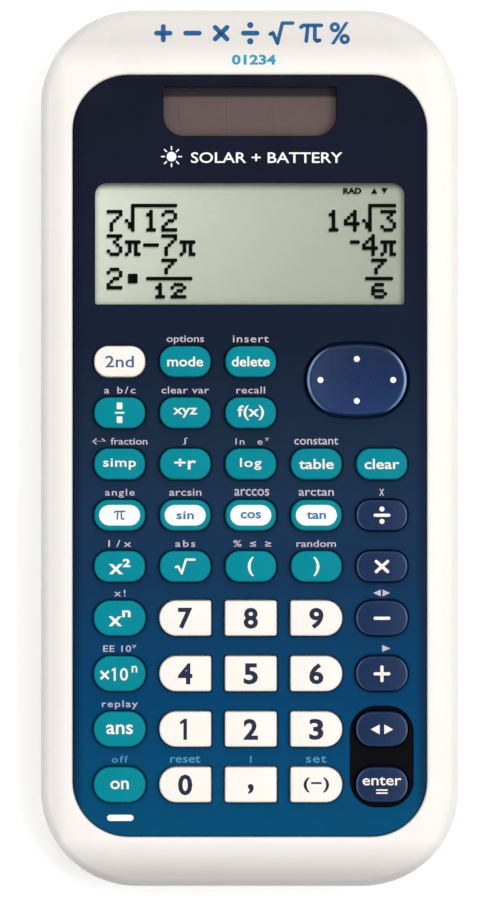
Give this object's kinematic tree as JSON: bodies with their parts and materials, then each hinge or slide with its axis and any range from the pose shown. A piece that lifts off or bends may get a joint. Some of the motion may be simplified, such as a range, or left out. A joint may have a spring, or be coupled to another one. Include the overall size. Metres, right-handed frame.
{
  "type": "scientific calculator",
  "caption": "Hand-held scientific calculator with a dot-matrix display, a solar cell, sprung keys and a rocking four-way pad in a rounded white case.",
  "frame": {"origin": "middle of the plane the four feet stand on, under the middle of the case", "axes": "+Y towards the display and solar cell end, +Z out of the face (the calculator lies on its back), +X to its right as read"},
  "size_m": [0.082, 0.1718, 0.0181],
  "materials": {
    "case_white": "satin",
    "panel_blue": "satin, dark navy at the top to deep blue at the bottom",
    "key_teal": "satin",
    "key_navy": "satin",
    "key_white": "satin",
    "clear_window": "polished",
    "lcd_glass": "polished",
    "solar_cell": "polished",
    "frame_grey": "matte",
    "mat_silicone": "matte",
    "board_green": "satin",
    "component_black": "matte",
    "contact_steel": "satin",
    "screw_steel": "satin",
    "foot_rubber": "matte",
    "legend_light": "satin print",
    "legend_dark": "satin print",
    "legend_lilac": "satin print",
    "title_ink": "satin print",
    "lcd_dots": "matte",
    "lead_insulation": "satin"
  },
  "bodies": {
    "case": {"front_bezel": "case_white", "rear_cover": "case_white", "case_screws": "screw_steel", "rubber_feet": "foot_rubber", "faceplate": "panel_blue", "display_window": "clear_window", "solar_window": "clear_window", "solar_cell": "solar_cell", "solar_leads": "lead_insulation", "lcd_glass": "lcd_glass", "lcd_holder": "frame_grey", "lcd_connector": "mat_silicone", "key_mat": "mat_silicone", "main_board": "board_green", "board_components": "component_black", "coin_cell": "contact_steel", "battery_clips": "contact_steel"},
    "key_second": {"key_second": "key_white"},
    "key_mode": {"key_mode": "key_teal"},
    "key_delete": {"key_delete": "key_teal"},
    "key_fraction": {"key_fraction": "key_teal"},
    "key_variable": {"key_variable": "key_teal"},
    "key_function": {"key_function": "key_teal"},
    "key_simplify": {"key_simplify": "key_teal"},
    "key_integer_divide": {"key_integer_divide": "key_teal"},
    "key_logarithm": {"key_logarithm": "key_teal"},
    "key_table": {"key_table": "key_teal"},
    "key_clear": {"key_clear": "key_teal"},
    "key_pi": {"key_pi": "key_teal"},
    "key_sine": {"key_sine": "key_teal"},
    "key_cosine": {"key_cosine": "key_teal"},
    "key_tangent": {"key_tangent": "key_teal"},
    "key_divide": {"key_divide": "key_navy"},
    "key_square": {"key_square": "key_teal"},
    "key_root": {"key_root": "key_teal"},
    "key_open_bracket": {"key_open_bracket": "key_teal"},
    "key_close_bracket": {"key_close_bracket": "key_teal"},
    "key_times": {"key_times": "key_navy"},
    "key_power": {"key_power": "key_teal"},
    "key_7": {"key_7": "key_white"},
    "key_8": {"key_8": "key_white"},
    "key_9": {"key_9": "key_white"},
    "key_minus": {"key_minus": "key_navy"},
    "key_ten_power": {"key_ten_power": "key_teal"},
    "key_4": {"key_4": "key_white"},
    "key_5": {"key_5": "key_white"},
    "key_6": {"key_6": "key_white"},
    "key_plus": {"key_plus": "key_navy"},
    "key_answer": {"key_answer": "key_teal"},
    "key_1": {"key_1": "key_white"},
    "key_2": {"key_2": "key_white"},
    "key_3": {"key_3": "key_white"},
    "key_toggle": {"key_toggle": "key_navy"},
    "key_on": {"key_on": "key_teal"},
    "key_0": {"key_0": "key_white"},
    "key_comma": {"key_comma": "key_white"},
    "key_negate": {"key_negate": "key_white"},
    "key_enter": {"key_enter": "key_navy"},
    "pad_pivot": {"pad_pivot": "frame_grey"},
    "navigation_pad": {"navigation_pad": "key_navy"}
  },
  "joints": [
    {"name": "key_second_press", "type": "slide", "parent": "case", "child": "key_second", "axis": [0, 0, 1], "range_m": [-0.001, 0], "stiffness_N_per_m": 60, "springref_m": 0.002, "deforming": ["key_mat"]},
    {"name": "key_mode_press", "type": "slide", "parent": "case", "child": "key_mode", "axis": [0, 0, 1], "range_m": [-0.001, 0], "stiffness_N_per_m": 60, "springref_m": 0.002, "deforming": ["key_mat"]},
    {"name": "key_delete_press", "type": "slide", "parent": "case", "child": "key_delete", "axis": [0, 0, 1], "range_m": [-0.001, 0], "stiffness_N_per_m": 60, "springref_m": 0.002, "deforming": ["key_mat"]},
    {"name": "key_fraction_press", "type": "slide", "parent": "case", "child": "key_fraction", "axis": [0, 0, 1], "range_m": [-0.001, 0], "stiffness_N_per_m": 60, "springref_m": 0.002, "deforming": ["key_mat"]},
    {"name": "key_variable_press", "type": "slide", "parent": "case", "child": "key_variable", "axis": [0, 0, 1], "range_m": [-0.001, 0], "stiffness_N_per_m": 60, "springref_m": 0.002, "deforming": ["key_mat"]},
    {"name": "key_function_press", "type": "slide", "parent": "case", "child": "key_function", "axis": [0, 0, 1], "range_m": [-0.001, 0], "stiffness_N_per_m": 60, "springref_m": 0.002, "deforming": ["key_mat"]},
    {"name": "key_simplify_press", "type": "slide", "parent": "case", "child": "key_simplify", "axis": [0, 0, 1], "range_m": [-0.001, 0], "stiffness_N_per_m": 60, "springref_m": 0.002, "deforming": ["key_mat"]},
    {"name": "key_integer_divide_press", "type": "slide", "parent": "case", "child": "key_integer_divide", "axis": [0, 0, 1], "range_m": [-0.001, 0], "stiffness_N_per_m": 60, "springref_m": 0.002, "deforming": ["key_mat"]},
    {"name": "key_logarithm_press", "type": "slide", "parent": "case", "child": "key_logarithm", "axis": [0, 0, 1], "range_m": [-0.001, 0], "stiffness_N_per_m": 60, "springref_m": 0.002, "deforming": ["key_mat"]},
    {"name": "key_table_press", "type": "slide", "parent": "case", "child": "key_table", "axis": [0, 0, 1], "range_m": [-0.001, 0], "stiffness_N_per_m": 60, "springref_m": 0.002, "deforming": ["key_mat"]},
    {"name": "key_clear_press", "type": "slide", "parent": "case", "child": "key_clear", "axis": [0, 0, 1], "range_m": [-0.001, 0], "stiffness_N_per_m": 60, "springref_m": 0.002, "deforming": ["key_mat"]},
    {"name": "key_pi_press", "type": "slide", "parent": "case", "child": "key_pi", "axis": [0, 0, 1], "range_m": [-0.001, 0], "stiffness_N_per_m": 60, "springref_m": 0.002, "deforming": ["key_mat"]},
    {"name": "key_sine_press", "type": "slide", "parent": "case", "child": "key_sine", "axis": [0, 0, 1], "range_m": [-0.001, 0], "stiffness_N_per_m": 60, "springref_m": 0.002, "deforming": ["key_mat"]},
    {"name": "key_cosine_press", "type": "slide", "parent": "case", "child": "key_cosine", "axis": [0, 0, 1], "range_m": [-0.001, 0], "stiffness_N_per_m": 60, "springref_m": 0.002, "deforming": ["key_mat"]},
    {"name": "key_tangent_press", "type": "slide", "parent": "case", "child": "key_tangent", "axis": [0, 0, 1], "range_m": [-0.001, 0], "stiffness_N_per_m": 60, "springref_m": 0.002, "deforming": ["key_mat"]},
    {"name": "key_divide_press", "type": "slide", "parent": "case", "child": "key_divide", "axis": [0, 0, 1], "range_m": [-0.001, 0], "stiffness_N_per_m": 60, "springref_m": 0.002, "deforming": ["key_mat"]},
    {"name": "key_square_press", "type": "slide", "parent": "case", "child": "key_square", "axis": [0, 0, 1], "range_m": [-0.001, 0], "stiffness_N_per_m": 60, "springref_m": 0.002, "deforming": ["key_mat"]},
    {"name": "key_root_press", "type": "slide", "parent": "case", "child": "key_root", "axis": [0, 0, 1], "range_m": [-0.001, 0], "stiffness_N_per_m": 60, "springref_m": 0.002, "deforming": ["key_mat"]},
    {"name": "key_open_bracket_press", "type": "slide", "parent": "case", "child": "key_open_bracket", "axis": [0, 0, 1], "range_m": [-0.001, 0], "stiffness_N_per_m": 60, "springref_m": 0.002, "deforming": ["key_mat"]},
    {"name": "key_close_bracket_press", "type": "slide", "parent": "case", "child": "key_close_bracket", "axis": [0, 0, 1], "range_m": [-0.001, 0], "stiffness_N_per_m": 60, "springref_m": 0.002, "deforming": ["key_mat"]},
    {"name": "key_times_press", "type": "slide", "parent": "case", "child": "key_times", "axis": [0, 0, 1], "range_m": [-0.001, 0], "stiffness_N_per_m": 60, "springref_m": 0.002, "deforming": ["key_mat"]},
    {"name": "key_power_press", "type": "slide", "parent": "case", "child": "key_power", "axis": [0, 0, 1], "range_m": [-0.001, 0], "stiffness_N_per_m": 60, "springref_m": 0.002, "deforming": ["key_mat"]},
    {"name": "key_7_press", "type": "slide", "parent": "case", "child": "key_7", "axis": [0, 0, 1], "range_m": [-0.001, 0], "stiffness_N_per_m": 60, "springref_m": 0.002, "deforming": ["key_mat"]},
    {"name": "key_8_press", "type": "slide", "parent": "case", "child": "key_8", "axis": [0, 0, 1], "range_m": [-0.001, 0], "stiffness_N_per_m": 60, "springref_m": 0.002, "deforming": ["key_mat"]},
    {"name": "key_9_press", "type": "slide", "parent": "case", "child": "key_9", "axis": [0, 0, 1], "range_m": [-0.001, 0], "stiffness_N_per_m": 60, "springref_m": 0.002, "deforming": ["key_mat"]},
    {"name": "key_minus_press", "type": "slide", "parent": "case", "child": "key_minus", "axis": [0, 0, 1], "range_m": [-0.001, 0], "stiffness_N_per_m": 60, "springref_m": 0.002, "deforming": ["key_mat"]},
    {"name": "key_ten_power_press", "type": "slide", "parent": "case", "child": "key_ten_power", "axis": [0, 0, 1], "range_m": [-0.001, 0], "stiffness_N_per_m": 60, "springref_m": 0.002, "deforming": ["key_mat"]},
    {"name": "key_4_press", "type": "slide", "parent": "case", "child": "key_4", "axis": [0, 0, 1], "range_m": [-0.001, 0], "stiffness_N_per_m": 60, "springref_m": 0.002, "deforming": ["key_mat"]},
    {"name": "key_5_press", "type": "slide", "parent": "case", "child": "key_5", "axis": [0, 0, 1], "range_m": [-0.001, 0], "stiffness_N_per_m": 60, "springref_m": 0.002, "deforming": ["key_mat"]},
    {"name": "key_6_press", "type": "slide", "parent": "case", "child": "key_6", "axis": [0, 0, 1], "range_m": [-0.001, 0], "stiffness_N_per_m": 60, "springref_m": 0.002, "deforming": ["key_mat"]},
    {"name": "key_plus_press", "type": "slide", "parent": "case", "child": "key_plus", "axis": [0, 0, 1], "range_m": [-0.001, 0], "stiffness_N_per_m": 60, "springref_m": 0.002, "deforming": ["key_mat"]},
    {"name": "key_answer_press", "type": "slide", "parent": "case", "child": "key_answer", "axis": [0, 0, 1], "range_m": [-0.001, 0], "stiffness_N_per_m": 60, "springref_m": 0.002, "deforming": ["key_mat"]},
    {"name": "key_1_press", "type": "slide", "parent": "case", "child": "key_1", "axis": [0, 0, 1], "range_m": [-0.001, 0], "stiffness_N_per_m": 60, "springref_m": 0.002, "deforming": ["key_mat"]},
    {"name": "key_2_press", "type": "slide", "parent": "case", "child": "key_2", "axis": [0, 0, 1], "range_m": [-0.001, 0], "stiffness_N_per_m": 60, "springref_m": 0.002, "deforming": ["key_mat"]},
    {"name": "key_3_press", "type": "slide", "parent": "case", "child": "key_3", "axis": [0, 0, 1], "range_m": [-0.001, 0], "stiffness_N_per_m": 60, "springref_m": 0.002, "deforming": ["key_mat"]},
    {"name": "key_toggle_press", "type": "slide", "parent": "case", "child": "key_toggle", "axis": [0, 0, 1], "range_m": [-0.001, 0], "stiffness_N_per_m": 60, "springref_m": 0.002, "deforming": ["key_mat"]},
    {"name": "key_on_press", "type": "slide", "parent": "case", "child": "key_on", "axis": [0, 0, 1], "range_m": [-0.001, 0], "stiffness_N_per_m": 60, "springref_m": 0.002, "deforming": ["key_mat"]},
    {"name": "key_0_press", "type": "slide", "parent": "case", "child": "key_0", "axis": [0, 0, 1], "range_m": [-0.001, 0], "stiffness_N_per_m": 60, "springref_m": 0.002, "deforming": ["key_mat"]},
    {"name": "key_comma_press", "type": "slide", "parent": "case", "child": "key_comma", "axis": [0, 0, 1], "range_m": [-0.001, 0], "stiffness_N_per_m": 60, "springref_m": 0.002, "deforming": ["key_mat"]},
    {"name": "key_negate_press", "type": "slide", "parent": "case", "child": "key_negate", "axis": [0, 0, 1], "range_m": [-0.001, 0], "stiffness_N_per_m": 60, "springref_m": 0.002, "deforming": ["key_mat"]},
    {"name": "key_enter_press", "type": "slide", "parent": "case", "child": "key_enter", "axis": [0, 0, 1], "range_m": [-0.001, 0], "stiffness_N_per_m": 60, "springref_m": 0.002, "deforming": ["key_mat"]},
    {"name": "pad_tilt_up_down", "type": "hinge", "parent": "case", "child": "pad_pivot", "pos_m": [0.0209, 0.0133, 0.0124], "axis": [1, 0, 0], "range_deg": [-4, 4], "stiffness_Nm_per_rad": 0.004, "deforming": ["key_mat"]},
    {"name": "pad_tilt_left_right", "type": "hinge", "parent": "pad_pivot", "child": "navigation_pad", "pos_m": [0.0209, 0.0133, 0.0124], "axis": [0, 1, 0], "range_deg": [-4, 4], "stiffness_Nm_per_rad": 0.004, "deforming": ["key_mat"]}
  ]
}
